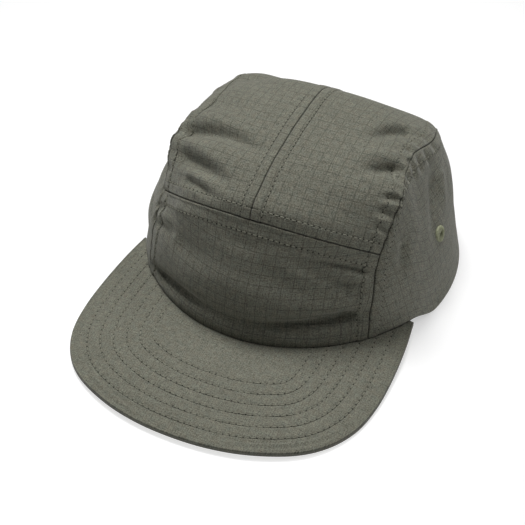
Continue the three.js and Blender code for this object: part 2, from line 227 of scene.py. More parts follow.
def noise_over(nodes, links, vector, scale, detail, stretch=(1, 1, 1)):
    mapping = nodes.new("ShaderNodeMapping")
    socket(mapping, "Scale", stretch)
    links.new(vector, mapping.inputs["Vector"])
    noise = nodes.new("ShaderNodeTexNoise")
    socket(noise, "Scale", scale)
    socket(noise, "Detail", detail)
    links.new(mapping.outputs[0], noise.inputs["Vector"])
    return noise.outputs["Fac"]


thick_yarn_gap, yarn_wave = 5.7, 0.62


def mapped(nodes, links, value, start, end, low=0, high=1, kind="SMOOTHSTEP", clamp=True):
    """Value that runs from low to high as the given one runs from start to end."""
    node = nodes.new("ShaderNodeMapRange")
    node.interpolation_type = kind
    node.clamp = clamp
    for name, number in (("From Min", start), ("From Max", end), ("To Min", low), ("To Max", high)):
        socket(node, name, number)
    links.new(value, node.inputs["Value"])
    return node.outputs[0]


def layer_parts(nodes, links, layer):
    """Coordinates held in one of the piece's own layers, whole and as separate parts."""
    place = nodes.new("ShaderNodeUVMap")
    place.uv_map = layer
    parts = nodes.new("ShaderNodeSeparateXYZ")
    links.new(place.outputs[0], parts.inputs[0])
    return place.outputs[0], parts.outputs


def shaded(nodes, links, shader, factor):
    """Color input, brightened or darkened by the factor on its way to the shader."""
    tinted = nodes.new("ShaderNodeVectorMath")
    tinted.operation = "SCALE"
    links.new(factor, tinted.inputs["Scale"])
    links.new(tinted.outputs[0], shader.inputs["Base Color"])
    return tinted.inputs[0]


def bumped(nodes, links, shader, height, strength, distance):
    bump = nodes.new("ShaderNodeBump")
    socket(bump, "Strength", strength)
    socket(bump, "Distance", distance)
    links.new(height, bump.inputs["Height"])
    links.new(bump.outputs[0], shader.inputs["Normal"])


def cloth_material(name, color, grid_darkness):
    """Plain weave on the piece's own cloth coordinates, with a grid of thicker yarns.

    The layer "sewn" holds distances to the nearest seam and stitch row, where the colour is darkened
    as painted shade in their grooves and valleys.
    """
    material, nodes, links, shader = new_material(name, color, 0.88)
    socket(shader, "Sheen Weight", 0.15)
    socket(shader, "Sheen Roughness", 0.5)
    socket(shader, "Specular IOR Level", 0.25)
    cloth, parts = layer_parts(nodes, links, "weave")

    drift = noise_over(nodes, links, cloth, 0.04, 1)
    ribs = []
    for axis in ("X", "Y"):
        drifted = math_node(nodes, links, "MULTIPLY_ADD", drift, 0.6, parts[axis])
        to_yarn = math_node(nodes, links, "PINGPONG", drifted, thick_yarn_gap / 2)
        ribs.append(mapped(nodes, links, to_yarn, 0.4, 0.12))
    grid_lines = math_node(nodes, links, "MAXIMUM", *ribs)

    warp = noise_over(nodes, links, cloth, 1.0, 3, (2.0, 0.22, 1))
    weft = noise_over(nodes, links, cloth, 1.0, 3, (0.22, 2.0, 1))
    grain = noise_over(nodes, links, cloth, 1.5, 3)
    cloud = noise_over(nodes, links, cloth, 0.05, 3)
    yarns = math_node(nodes, links, "ADD", warp, weft)
    yarns = math_node(nodes, links, "MULTIPLY", yarns, 0.5)
    mixed = math_node(nodes, links, "MULTIPLY_ADD", grain, 0.9, yarns)

    tone = mapped(nodes, links, mixed, 0.62, 1.28, 0.22, 1.78, kind="LINEAR", clamp=False)
    # Painted shade: the grid of thicker yarns, a real pattern of the cloth, is darkened as the shade
    # along its ribs.
    darker = math_node(nodes, links, "MULTIPLY_ADD", grid_lines, -grid_darkness, 1)
    shade = math_node(nodes, links, "MULTIPLY", tone, darker)
    soft = math_node(nodes, links, "MULTIPLY_ADD", cloud, 0.2, 0.9)
    shade = math_node(nodes, links, "MULTIPLY", shade, soft)
    # Painted shade: darker beside the seams and along the stitch rows, where their grooves and
    # valleys fall into shade.
    _, gaps = layer_parts(nodes, links, "sewn")
    for axis, reach, darkest in (("X", 0.6, 0.55), ("Y", 0.55, 0.66)):
        seam_row_shade = mapped(nodes, links, gaps[axis], 0.1, reach, darkest)
        shade = math_node(nodes, links, "MULTIPLY", shade, seam_row_shade)

    hue = nodes.new("ShaderNodeMix")
    hue.data_type = "RGBA"
    warm = [value * factor for value, factor in zip(color, (1.07, 0.98, 0.93))]
    cool = [value * factor for value, factor in zip(color, (0.93, 1.02, 1.06))]
    hue.inputs["A"].default_value = (*warm, 1)
    hue.inputs["B"].default_value = (*cool, 1)
    links.new(noise_over(nodes, links, cloth, 0.3, 2), hue.inputs["Factor"])
    links.new(hue.outputs["Result"], shaded(nodes, links, shader, shade))
    rough = math_node(nodes, links, "MULTIPLY_ADD", grain, 0.14, 0.8)
    links.new(rough, shader.inputs["Roughness"])

    waves = []
    for axis in ("X", "Y"):
        phase = math_node(nodes, links, "MULTIPLY", parts[axis], math.tau / yarn_wave)
        waves.append(math_node(nodes, links, "SINE", phase))
    plain = math_node(nodes, links, "MULTIPLY", *waves)
    surface = math_node(nodes, links, "MULTIPLY_ADD", plain, 0.25, mixed)
    surface = math_node(nodes, links, "MULTIPLY_ADD", grid_lines, -1.2 * grid_darkness, surface)
    bumped(nodes, links, shader, surface, 0.55, 0.00025)
    return material


def finish_piece(piece, material, slot, *nodes):
    piece.data.materials.clear()
    piece.data.materials.append(material)
    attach(piece, "root")
    if nodes:
        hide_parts(*nodes)


cotton = (0.175, 0.175, 0.138)
peak_cloth = cloth_material("peak_cotton", cotton, 0.02)
finish_piece(peak_piece, peak_cloth, "peak_cloth", "peak")


# Stitches: a thread that dips into a needle hole at both of its ends. Each hole is drawn as a
# near-black disc, painted shade of the hole and of the thread's end in it.
def thread_material(name, color, roughness, dark, light, scale, detail):
    """Thread with fine flecks between a dark and a light tone."""
    material, nodes, links, shader = new_material(name, color, roughness)
    place = nodes.new("ShaderNodeTexCoord")
    tone = nodes.new("ShaderNodeValToRGB")
    tone.color_ramp.elements[0].color = (*dark, 1)
    tone.color_ramp.elements[1].color = (*light, 1)
    links.new(noise_over(nodes, links, place.outputs["Object"], scale, detail), tone.inputs[0])
    links.new(tone.outputs[0], shader.inputs["Base Color"])
    return material


sewing_thread = thread_material(
    "sewing_thread", (0.22, 0.218, 0.17), 0.7, (0.13, 0.128, 0.095), (0.32, 0.32, 0.25), 900, 2)
# Near-black colour of the needle holes: painted shade, not a colour of the cloth or thread.
needle_hole_shade_material, *_ = new_material("painted_hole_shade", (0.018, 0.018, 0.014), 1.0)
# Share of the stitch's length, half thickness of the thread and lift over the cloth
thread_profile = [
    (0.08, 0.12, -0.2), (0.18, 0.26, 0.12), (0.34, 0.34, 0.26),
    (0.7, 0.34, 0.26), (0.85, 0.26, 0.12), (0.94, 0.12, -0.2),
]
thread_sides = 6


def stitched(name, slot, lines, pitch):
    """Stitches along lines, each given as points and outward normals, with a near-black disc of
    painted shade at each needle hole.
    """
    thread_points, thread_faces, hole_shade_points, hole_shade_faces = [], [], [], []
    turns = np.arange(thread_sides) * math.tau / thread_sides
    for points, normals in lines:
        run = np.concatenate([[0], np.cumsum(np.linalg.norm(np.diff(points, axis=0), axis=1))])
        count = int(run[-1] / pitch)
        if count < 2:
            continue
        places = np.linspace(0.3, run[-1] - 0.3, count + 1)
        at = np.stack([np.interp(places, run, points[:, axis]) for axis in range(3)], -1)
        facing = np.stack([np.interp(places, run, normals[:, axis]) for axis in range(3)], -1)
        for start, end, normal in zip(at[:-1], at[1:], facing[:-1]):
            ahead = (end - start) / np.linalg.norm(end - start)
            sideways = np.cross(normal, ahead)
            first = len(thread_points)
            for share, radius, lift in thread_profile:
                centre = start + (end - start) * share + normal * lift
                for turn in turns:
                    thread_points.append(centre + radius * (
                        sideways * math.cos(turn) + 0.7 * normal * math.sin(turn)))
            for ring in range(len(thread_profile) - 1):
                for side in range(thread_sides):
                    a = first + thread_sides * ring + side
                    b = first + thread_sides * ring + (side + 1) % thread_sides
                    thread_faces.append((a, b, b + thread_sides, a + thread_sides))
            last_ring = len(thread_points) - thread_sides
            thread_faces.append(tuple(range(first, first + thread_sides))[::-1])
            thread_faces.append(tuple(range(last_ring, last_ring + thread_sides)))
            # Needle hole: a near-black disc, a little longer along the row than across, painted shade
            # of the hole and of the thread's end.
            first = len(hole_shade_points)
            hole_shade_points.append(start + 0.16 * normal)
            for turn in turns:
                hole_shade_points.append(start + 0.05 * normal + 0.6 * ahead * math.cos(turn)
                                   + 0.46 * sideways * math.sin(turn))
            hole_shade_faces += [(first, first + 1 + side, first + 1 + (side + 1) % thread_sides)
                           for side in range(thread_sides)]
    threads = mesh_piece(f"{name}_thread", thread_points, thread_faces)
    finish_piece(threads, sewing_thread, slot)
    holes = mesh_piece(f"{name}_painted_hole_shades", hole_shade_points, hole_shade_faces)
    finish_piece(holes, needle_hole_shade_material, slot)


def row_line(points, distance, width):
    """Points at one distance from an edge, one on each line of the grid that reaches it."""
    line = []
    for place, gap in zip(points, distance):
        if gap[0] > gap[-1]:
            place, gap = place[::-1], gap[::-1]
        if gap[0] <= width <= gap[-1]:
            line.append([np.interp(width, gap, place[:, axis]) for axis in range(3)])
    return np.array(line)


flat_count = len(flat_stations)
top_grid = peak_points[:flat_count].swapaxes(0, 1)
bottom_grid = peak_points[-flat_count:].swapaxes(0, 1)
peak_lines = []
for row in range(peak_row_count):
    width = peak_row_first + row * peak_row_step
    for grid, distance, facing in (
        (top_grid, edge_distance[:flat_count].T, 1),
        (bottom_grid, edge_distance[-flat_count:].T, -1),
    ):
        rising = np.maximum.accumulate(distance[:, ::-facing], axis=1)[:, ::-facing]
        line = row_line(grid, rising, width)
        peak_lines.append((line, np.tile([0.0, 0.0, facing], (len(line), 1))))
stitched("peak_rows", "peak_cloth", peak_lines, peak_stitch)


# Front panel: ripstop cotton cut low and wide, sewn to the side panels and to the top panels.
# Its lower hem stands on the peak, and the cloth folds in above that hem.

# The crown's surface: the rim's oval, the side seam and the middle line, as in the pattern
cloth_thickness, seat_gap = 1.5, 0.3
side_bulge, side_wave = 4.2, 1.1
side_seam_shares = [
    (0.726, -0.704, 0.083), (0.716, -0.634, 0.355), (0.693, -0.529, 0.566),
    (0.727, -0.328, 0.805), (0.675, -0.043, 0.875), (0.67, 0.289, 0.824),
    (0.604, 0.554, 0.719), (0.487, 0.77, 0.432), (0.351, 0.936, 0),
]
middle_shares = [
    (-1, 0.083), (-0.909, 0.444), (-0.74, 0.731), (-0.482, 0.926), (-0.134, 1),
    (0.215, 0.99), (0.501, 0.783), (0.796, 0.461), (1, 0),
]
front_corner, back_corner, front_seam = 0.375, 0.75, 0.25


def rim_height(x, y):
    """Height of the crown's lower edge, which the front panel sets down on the peak."""
    inner_x = x * (1 - wall_inset / rim_half_width)
    seat = peak_bottom(inner_x, y) + peak_thickness + seat_gap
    angle = np.arcsin(np.clip(-y / rim_front, -1, 1)) / tip_angle
    return seat * smooth((angle - 0.42) / 0.55)


def length_share(share):
    return share * (rim_front if share < 0 else rim_back)


side_seam = np.array([
    (w * rim_half_width, length_share(l), h * crown_height) for w, l, h in side_seam_shares
])
for row, reach in ((0, -rim_front), (-1, rim_back)):
    side_seam[row, 1] = reach * math.sqrt(1 - (side_seam[row, 0] / rim_half_width) ** 2)
side_seam[0, 2] = rim_height(side_seam[0, 0], side_seam[0, 1])
middle_line = np.array([(0, length_share(l), h * crown_height) for l, h in middle_shares])
middle_line[0, 2] = rim_height(0, -rim_front)


roll_out = 0.15


def seam_roll(along):
    """How far the top panel rolls over the crown's upper rear edge before it meets the seam."""
    return 5.0 * smooth((along - 0.5) / 0.12) * (1 - smooth((along - 0.74) / 0.14))


def seam_point(place):
    roll = seam_roll(np.asarray(place, float))[..., None]
    return through(side_seam, place) + roll * (roll_out, 0, -1)


def strip_point(along, across):
    """Front and top panels: along from the front rim to the back, across from -1 to 1."""
    along, across = np.broadcast_arrays(np.asarray(along, float), np.asarray(across, float))
    edge, middle = through(side_seam, along), through(middle_line, along)
    reach = np.abs(across)
    x = edge[..., 0] * across
    y = middle[..., 1] + (edge[..., 1] - middle[..., 1]) * reach**2.2
    z = middle[..., 2] + (edge[..., 2] - middle[..., 2]) * reach**2.1
    roll = seam_roll(along) * reach**10
    x = x + roll_out * roll * np.sign(across)
    z = z - roll
    to_rim = 1 - smooth(along / 0.03)
    rim_y = -rim_front * np.sqrt(np.maximum(0, 1 - (x / rim_half_width) ** 2))
    y = y + (rim_y - y) * to_rim
    z = z + (rim_height(x, rim_y) - z) * to_rim * (along == 0)
    return np.stack([x, y, z], -1)


front_angle = -math.acos(side_seam[0, 0] / rim_half_width)
back_angle = math.acos(side_seam[-1, 0] / rim_half_width)


def side_point(around, upward, side=1):
    """Side panel: around from front to back, upward from the rim to the top of the seam."""
    around, upward = np.broadcast_arrays(np.asarray(around, float), np.asarray(upward, float))
    u, v = around[..., None], upward[..., None]
    angle = front_angle + (back_angle - front_angle) * around
    x = rim_half_width * np.cos(angle)
    y = np.where(angle < 0, rim_front, rim_back) * np.sin(angle)
    rim = np.stack([x, y, np.where(y < 0, rim_height(x, y), 0)], -1)
    top = seam_point(front_corner + (back_corner - front_corner) * around)
    front = seam_point(front_corner * upward)
    back = seam_point(1 - (1 - back_corner) * upward)
    corners = [side_seam[0], side_seam[-1], seam_point(front_corner), seam_point(back_corner)]
    point = (1 - v) * rim + v * top + (1 - u) * front + u * back
    point = point - ((1 - u) * (1 - v) * corners[0] + u * (1 - v) * corners[1]
                     + (1 - u) * v * corners[2] + u * v * corners[3])
    weight = np.sqrt(np.maximum(0, 4 * around * (1 - around)))
    point[..., 0] += side_bulge * 4 * upward * (1 - upward) * weight
    point[..., 0] -= side_wave * np.sin(math.tau * upward) * weight
    point[..., 0] *= side
    return point


def outward(points):
    """Outward normals of an egg-shaped crown at the points, a smooth guide for folds and walls."""
    depth = np.where(points[..., 1] < 0, rim_front, rim_back)
    height = np.maximum(0, points[..., 2] - 10)
    normal = np.stack([points[..., 0] / rim_half_width**2, points[..., 1] / depth**2,
                       height / crown_height**2], -1)
    return normal / np.linalg.norm(normal, axis=-1, keepdims=True)


# Folds, each with a depth (below zero for a valley), a width in mm and the points it runs
# through. A fold is deepest where it starts and fades out towards its last point.
# Front and top panels: points are along and across
strip_folds = [
    (-5.2, 4.8, [(0.394, -0.97), (0.402, -0.82), (0.412, -0.53), (0.4, -0.25), (0.388, 0)]),
    (1.0, 6.0, [(0.43, -0.85), (0.425, -0.6), (0.42, -0.3)]),
    (1.5, 4.6, [(0.366, -0.87), (0.354, -0.62), (0.342, -0.4), (0.327, -0.15)]),
    (-4.6, 4.6, [(0.34, -0.92), (0.335, -0.73), (0.326, -0.57), (0.311, -0.34), (0.285, -0.06)]),
    (1.2, 3.0, [(0.307, -0.75), (0.297, -0.5), (0.286, -0.3)]),
    (-3.4, 2.8, [(0.292, -0.74), (0.284, -0.52), (0.276, -0.4), (0.268, -0.2)]),
    (-1.6, 8.0, [(0.66, -0.85), (0.6, -0.6), (0.52, -0.2)]),
    (1.6, 6.0, [(0.455, -0.9), (0.452, -0.7), (0.45, -0.4)]),
    (-1.2, 7.0, [(0.5, -0.94), (0.495, -0.7), (0.49, -0.5)]),
    (-4.4, 4.2, [(0.594, 0.9), (0.572, 0.8), (0.535, 0.7), (0.49, 0.55)]),
    (2.4, 4.6, [(0.49, 0.92), (0.468, 0.74), (0.445, 0.5)]),
    (-2.8, 3.4, [(0.447, 0.95), (0.438, 0.86), (0.425, 0.74), (0.41, 0.58)]),
    (-2.4, 2.2, [(0.194, 0.97), (0.199, 0.85), (0.203, 0.68), (0.198, 0.45), (0.194, 0.3)]),
    (1.3, 2.4, [(0.178, 0.96), (0.182, 0.85), (0.19, 0.7)]),
    (-2.5, 3.4, [(0.146, 0.9), (0.16, 0.78), (0.176, 0.62), (0.186, 0.42), (0.192, 0.25)]),
    (-2.2, 8.0, [(0.125, 0.8), (0.13, 0.5), (0.14, 0.2), (0.15, -0.1)]),
    (-2.2, 7.0, [(0.15, -0.72), (0.145, -0.5), (0.14, -0.3), (0.135, -0.05)]),
    (-0.7, 2.5, [(0.2, 0.16), (0.197, 0), (0.197, -0.16), (0.2, -0.3)]),
    (1.7, 4.2, [(0.195, -0.97), (0.183, -0.86), (0.17, -0.75)]),
    (-1.4, 3.2, [(0.165, -0.97), (0.16, -0.82), (0.165, -0.6)]),
    (-5.4, 4.0, [(0.07, 0.96), (0.06, 0.8), (0.05, 0.6), (0.043, 0.38), (0.039, 0.1), (0.041, -0.4)]),
    (-1.6, 2.4, [(0.073, 0.95), (0.074, 0.8), (0.07, 0.5), (0.062, 0.2)]),
    (0.6, 8.5, [(0.105, 0.95), (0.105, 0.4), (0.11, 0), (0.1, -0.5), (0.1, -0.8)]),
    (-3.4, 3.2, [(0.022, -0.94), (0.036, -0.7), (0.04, -0.49), (0.04, -0.28), (0.036, 0)]),
    (2.3, 6.5, [(0.279, -0.9), (0.279, -0.1), (0.279, 0.7), (0.279, 1.5)]),
    (3.6, 21.0, [(0.3, -0.9), (0.3, -0.1), (0.3, 0.7), (0.3, 1.5)]),
    (1.5, 5.0, [(0.225, -0.8), (0.222, -0.6), (0.22, -0.45), (0.222, -0.2)]),
    (2.6, 14.0, [(0.64, -0.92), (0.72, -0.85), (0.8, -0.6)]),
    (2.4, 9.5, [(0.56, -1.05), (0.615, -1.0), (0.66, -0.95), (0.7, -0.8)]),
    (1.6, 10.0, [(0.6, 1.0), (0.68, 1.0), (0.76, 0.9), (0.84, 0.6)]),
]
# Side panels: side, then points around and upward
side_folds = [
    (1, -2.0, 3.4, [(0.132, 0.64), (0.127, 0.5), (0.126, 0.34)]),
    (-1, -2.2, 9.0, [(0.08, 0.8), (0.1, 0.66), (0.13, 0.52)]),
    (1, -2.2, 5.5, [(0.5, 0.8), (0.42, 0.64), (0.36, 0.46), (0.34, 0.28)]),
    (1, 1.4, 4.5, [(0.58, 0.78), (0.52, 0.6), (0.47, 0.4)]),
    (1, 0.5, 5.0, [(0.2, 0.86), (0.24, 0.66), (0.25, 0.48)]),
    (1, -1.2, 9.0, [(0.5, 0.9), (0.47, 0.65), (0.43, 0.4)]),
    (1, 1.3, 15.0, [(0.62, 0.75), (0.75, 0.55), (0.85, 0.4)]),
    (-1, 1.6, 10.0, [(0.1, 0.42), (0.13, 0.3), (0.2, 0.15)]),
    (-1, -1.2, 8.0, [(0.3, 0.9), (0.3, 0.6), (0.25, 0.3)]),
]
# Puckers across the side seam, where it takes up the fullness of the top panel:
# side, place along the seam, reach on the top panel, reach on the side panel, depth, width
puckers = [
    (1, 0.45, 12, 6, -1.1, 1.7), (1, 0.467, 10, 4, 0.6, 1.6),
    (1, 0.425, 9, 5, -0.8, 1.6), (1, 0.408, 9, 2, 0.6, 1.6),
    (1, 0.386, 11, 2, 1.1, 1.8), (1, 0.372, 10, 2, -1.4, 1.7),
    (1, 0.355, 11, 2, 1.1, 1.8), (1, 0.338, 10, 2, -1.2, 1.8),
    (1, 0.32, 10, 2, 0.9, 1.8), (1, 0.305, 9, 1, -1.0, 1.8),
    (1, 0.292, 9, 1, 0.6, 1.6), (1, 0.28, 9, 1, -0.8, 1.6),
    (1, 0.487, 2, 10, -0.9, 1.7), (1, 0.5, 2, 12, 0.8, 1.8),
    (1, 0.52, 7, 12, -1.2, 2.0), (1, 0.54, 6, 11, 0.6, 1.8),
    (1, 0.562, 9, 12, -1.4, 2.1), (1, 0.585, 7, 9, 0.6, 1.8),
    (1, 0.605, 8, 8, -0.9, 1.8),
    (-1, 0.15, 7, 3, -1.0, 1.8), (-1, 0.175, 7, 3, 0.6, 1.7),
    (-1, 0.2, 8, 3, -1.1, 1.8), (-1, 0.226, 7, 3, 0.6, 1.7),
    (-1, 0.25, 7, 3, -0.9, 1.7), (-1, 0.3, 6, 3, -0.8, 1.7),
    (-1, 0.34, 6, 3, -0.6, 1.7), (-1, 0.395, 8, 4, -0.9, 2.0),
    (-1, 0.43, 7, 4, -0.8, 1.8), (-1, 0.46, 7, 4, 0.6, 1.8),
    (-1, 0.5, 6, 4, -0.6, 1.8),
]


def seam_side_point(place, reach, side):
    """Point on the side panel at a distance in from its sewn edge."""
    if place < front_corner:
        return side_point(reach / 150, place / front_corner, side)
    around = (place - front_corner) / (back_corner - front_corner)
    return side_point(around, 1 - reach / 75, side)


def fold_route(point_at, places, *side):
    """Close points along a fold, and how much of its depth is left at each of them."""
    shares = np.linspace(0, 1, 8 * (len(places) - 1) + 1)
    coordinates = through(np.array(places, float), shares)
    left = (0.25 + 0.75 * smooth(shares / 0.15)) * (1 - smooth((shares - 0.45) / 0.55))
    return point_at(coordinates[:, 0], coordinates[:, 1], *side), left


folds = []
for depth, width, places in strip_folds:
    folds.append((depth, width, *fold_route(strip_point, places)))
for side, depth, width, places in side_folds:
    folds.append((depth, width, *fold_route(side_point, places, side)))
for side, place, top_reach, side_reach, depth, width in puckers:
    corner = seam_point(place) * (side, 1, 1)
    top_end = strip_point(place, side * (1 - top_reach / abs(corner[0])))
    for end in (top_end, seam_side_point(place, side_reach, side)):
        shares = np.linspace(0, 1, 11)
        route = corner + (end - corner) * shares[:, None]
        left = (0.15 + 0.85 * smooth(shares / 0.35)) * (1 - smooth((shares - 0.5) / 0.5))
        folds.append((depth, width, route, left))


def fold_height(points):
    """Height of the folds and of the slack in the cloth at points on the crown."""
    height = np.zeros(points.shape[:-1])
    for depth, width, route, left in folds:
        gap = np.full(height.shape, np.inf)
        share = np.zeros(height.shape)
        near = np.linalg.norm(points - route.mean(0), axis=-1) < (
            np.linalg.norm(route - route.mean(0), axis=-1).max() + 3 * width)
        if not near.any():
            continue
        for start, end, left_start, left_end in zip(route[:-1], route[1:], left[:-1], left[1:]):
            line = end - start
            along = np.clip(((points[near] - start) @ line) / (line @ line), 0, 1)
            distance = np.linalg.norm(points[near] - start - along[:, None] * line, axis=-1)
            closer = distance < gap[near]
            gap[near] = np.where(closer, distance, gap[near])
            share[near] = np.where(closer, left_start + (left_end - left_start) * along, share[near])
        height += depth * share * np.exp(-(gap / width) ** 2)
    x, y, z = np.moveaxis(points, -1, 0)
    slack = (np.sin(x / 7.3 + 0.9 * np.sin(y / 9.1) + 0.4) * np.sin(y / 8.2 + 0.7 * np.sin(z / 6.4))
             + 0.6 * np.sin((x + 1.7 * z) / 5.1 + np.sin(y / 6.7)) * np.sin((y - z) / 6.3))
    broad = np.sin(x / 15 + 1.1 * np.sin(y / 19 + 1)) * np.sin(y / 13 + 0.8 * np.sin(x / 17) + z / 21)
    return height * smooth((z - 7) / 9) + (0.2 * slack + 0.45 * broad) * smooth((z - 11) / 8)


def stations(length, step, start_row, end_row):
    """Distances in from the start, shares of the middle part and distances in from the end.

    They lie a step apart, and closer beside a sewn edge and round its stitch row.
    """
    def margin(row):
        near_edge = np.array([0, 0.22, 0.45, 0.7, 1.0, 1.4, 1.9, 2.5])
        near_row = row + np.array([-1.5, -0.9, -0.55, -0.25, 0, 0.25, 0.55, 0.9, 1.5])
        between = np.linspace(near_edge[-1], near_row[0], 5)[1:-1]
        return np.concatenate([near_edge, between, near_row]) if row else np.array([0.0])

    low, high = margin(start_row), margin(end_row)
    count = max(2, round((length - low[-1] - high[-1]) / step))
    return low, np.linspace(0, 1, count + 1)[1:-1], high


def measured(stations_of, lengths):
    """The stations as distances, a row of them for each of the lengths."""
    low, inner, high = stations_of
    lengths = np.asarray(lengths)[:, None]
    middle = low[-1] + (lengths - high[-1] - low[-1]) * inner
    start = np.broadcast_to(low, (len(lengths), len(low)))
    return np.concatenate([start, middle, lengths - high[::-1]], axis=1)


# The opening at the back is an arch, hemmed as far as its own row of stitches.
arch_half_width, arch_height, arch_hem = 36, 46, 6
arch_cut_middle, arch_cut_length = 80, 100


def arch_gap(points):
    """Distance outside the arch at points on the back of the crown."""
    size = np.hypot(points[..., 0] / arch_half_width, points[..., 2] / arch_height)
    gap = (size - 1) * (arch_half_width + arch_height) / 2
    return np.where(points[..., 1] > 0, gap, 99)


crown_stitch, seam_rise, seam_groove, row_valley = 3.0, 0.4, 0.8, 0.6


def seam_relief(distance, length, width, bead=0.0):
    """Turned allowance beside a seam: raised as far as its stitches, with a groove at the seam."""
    raised = seam_rise * (1 - smooth((distance - width + 0.3) / 1.3))
    groove = -seam_groove * np.exp(-(distance / 0.3) ** 2)
    groove = groove + bead * np.exp(-((distance - 0.9) / 0.5) ** 2)
    pulled = 0.7 + 0.3 * np.cos(math.tau * length / crown_stitch)
    valley = -row_valley * np.exp(-((distance - width) / 0.42) ** 2) * pulled
    between = np.exp(-((distance - width / 2) / (0.55 * width)) ** 2)
    rippled = np.sin(length / 0.83 + 1.7 * np.sin(length / 7.7)) * 0.6 + np.sin(length / 1.37 + 2)
    return raised + groove + valley + 0.07 * rippled * between


def lengths_over(grid, axis):
    """Distance over the cloth from the first row or column, and back from the last."""
    steps = np.linalg.norm(np.diff(grid, axis=axis), axis=-1)
    start = np.zeros_like(np.take(steps, [0], axis=axis))
    run = np.concatenate([start, np.cumsum(steps, axis=axis)], axis=axis)
    return run, np.take(run, [-1], axis=axis) - run


def cloth_grid(surface, rows, columns):
    """Points of a panel, on rows and columns that keep their distances from its edges."""
    shares = np.linspace(0, 1, 301)
    run = lengths_over(surface(shares[:, None], shares[None, :]), 1)[0]
    wanted = measured(columns, run[:, -1])
    over = np.stack([np.interp(want, length, shares) for want, length in zip(wanted, run)])
    run = lengths_over(surface(shares[:, None], over), 0)[0]
    wanted = measured(rows, run[-1])
    down = np.stack([np.interp(want, length, shares) for want, length in zip(wanted, run.T)], -1)
    over = np.stack([np.interp(place, shares, line) for place, line in zip(down.T, over.T)], -1)
    return surface(down, over)


def cut_opening(piece, cutter):
    """Cut through a panel with a hidden solid."""
    bpy.ops.object.select_all(action="DESELECT")
    bpy.context.view_layer.objects.active = piece
    piece.select_set(True)
    opening = piece.modifiers.new("opening", "BOOLEAN")
    opening.object = cutter
    opening.operation = "DIFFERENCE"
    opening.solver = "MANIFOLD"
    bpy.ops.object.modifier_apply(modifier=opening.name)


def shell_faces(rows, columns):
    """Faces of two matching grids, the second behind the first, and of the walls between them."""
    front = grid_faces(rows, columns)
    count = rows * columns
    back = [tuple(corner + count for corner in face) for face in turned_over(front)]
    index = np.arange(count).reshape(rows, columns)
    border = np.concatenate([index[0, :-1], index[:-1, -1], index[-1, :0:-1], index[:0:-1, 0]])
    walls = [(int(b), int(a), int(a) + count, int(b) + count)
             for a, b in zip(border, np.roll(border, -1))]
    return front + back + walls


crown_lines = []


def panel(name, base, sewn, uv, cutters=(), beads=(0, 0, 0, 0)):
    """Cloth panel: folds and seams are raised on its surface, then it gets its thickness.

    sewn gives the stitch row's distance from each edge: start, end, first, last (0 unsewn).
    """
    down_start, down_end = lengths_over(base, 0)
    over_start, over_end = lengths_over(base, 1)
    fold = fold_height(base)
    height = fold.copy()
    # Distances to the sewn edges, and to the lower edge where it sits on the peak; the material
    # paints shade near them.
    seam_gap = np.where(base[:1, :, 2] > 3, down_start, 9.0)
    row_gap = np.full(height.shape, 9.0)
    for distance, length, width, bead in zip(
        (down_start, down_end, over_start, over_end),
        (over_start, over_start, down_start, down_start),
        sewn, beads,
    ):
        if width:
            height = height + seam_relief(distance, length, width, bead)
            seam_gap = np.minimum(seam_gap, distance)
            row_gap = np.minimum(row_gap, np.abs(distance - width))
    gap = arch_gap(base)
    row_gap = np.minimum(row_gap, np.abs(gap - arch_hem))
    height += 0.3 * (1 - smooth((gap - arch_hem + 0.2) / 1.2))
    height -= 0.28 * np.exp(-((gap - arch_hem) / 0.6) ** 2)
    points = base + outward(base) * height[..., None]
    inside = base + outward(base) * (fold - cloth_thickness)[..., None]
    rows, columns = base.shape[:2]
    over, down = points[1, 1] - points[1, 0], points[2, 1] - points[1, 1]
    faces = shell_faces(rows, columns)
    if np.cross(over, down) @ outward(base)[1, 1] < 0:
        faces = turned_over(faces)
    weave = np.stack(uv, -1).reshape(-1, 2)
    # Painted shade: these distances darken the cloth beside seams, stitch rows and the joint with the
    # peak.
    sewn_gaps = np.stack([seam_gap, row_gap], -1).reshape(-1, 2)
    piece = mesh_piece(name, np.concatenate([points, inside]).reshape(-1, 3), faces,
                       weave=np.concatenate([weave, weave]),
                       sewn=np.concatenate([sewn_gaps, np.full_like(sewn_gaps, 9.0)]))
    for cutter in cutters:
        cut_opening(piece, cutter)
    columns_first = points.swapaxes(0, 1)
    for grid, distance, width in (
        (columns_first, down_start.T, sewn[0]),
        (columns_first, down_end.T, sewn[1]),
        (points, over_start, sewn[2]),
        (points, over_end, sewn[3]),
    ):
        if width:
            line = row_line(grid, distance, width)
            line = line[arch_gap(line) > 0.8]
            crown_lines.append((line, outward(line)))
    return piece, points


crown_cloth = cloth_material("crown_ripstop", cotton, 0.27)
stitch_offset = {"front_low": 6.8, "front_high": 5.4, "centre": 5.4, "side_top": 6.4, "side": 6.2}

base = cloth_grid(
    lambda down, over: strip_point(down * front_seam, 2 * over - 1),
    stations(72, 0.8, start_row=0, end_row=stitch_offset["front_low"]),
    stations(132, 0.8, stitch_offset["side_top"], stitch_offset["side_top"]),
)
from_right, from_left = lengths_over(base, 1)
from_middle = (from_right - from_left) / 2
front_panel, _ = panel(
    "front_panel_cloth", base,
    (0, stitch_offset["front_low"], stitch_offset["side_top"], stitch_offset["side_top"]),
    (from_middle, lengths_over(base, 0)[0]),
    beads=(0, 0.4, 0, 0),
)
finish_piece(front_panel, crown_cloth, "crown_cloth", "front_panel")


# Top panels: two long panels of the same ripstop cotton, from the front seam over the head to
# the opening at the back. The centre seam is pressed open and stitched down on both sides.
def object_from(name, shape):
    mesh = bpy.data.meshes.new(name)
    shape.to_mesh(mesh)
    shape.free()
    made = bpy.data.objects.new(name, mesh)
    bpy.context.collection.objects.link(made)
    return made


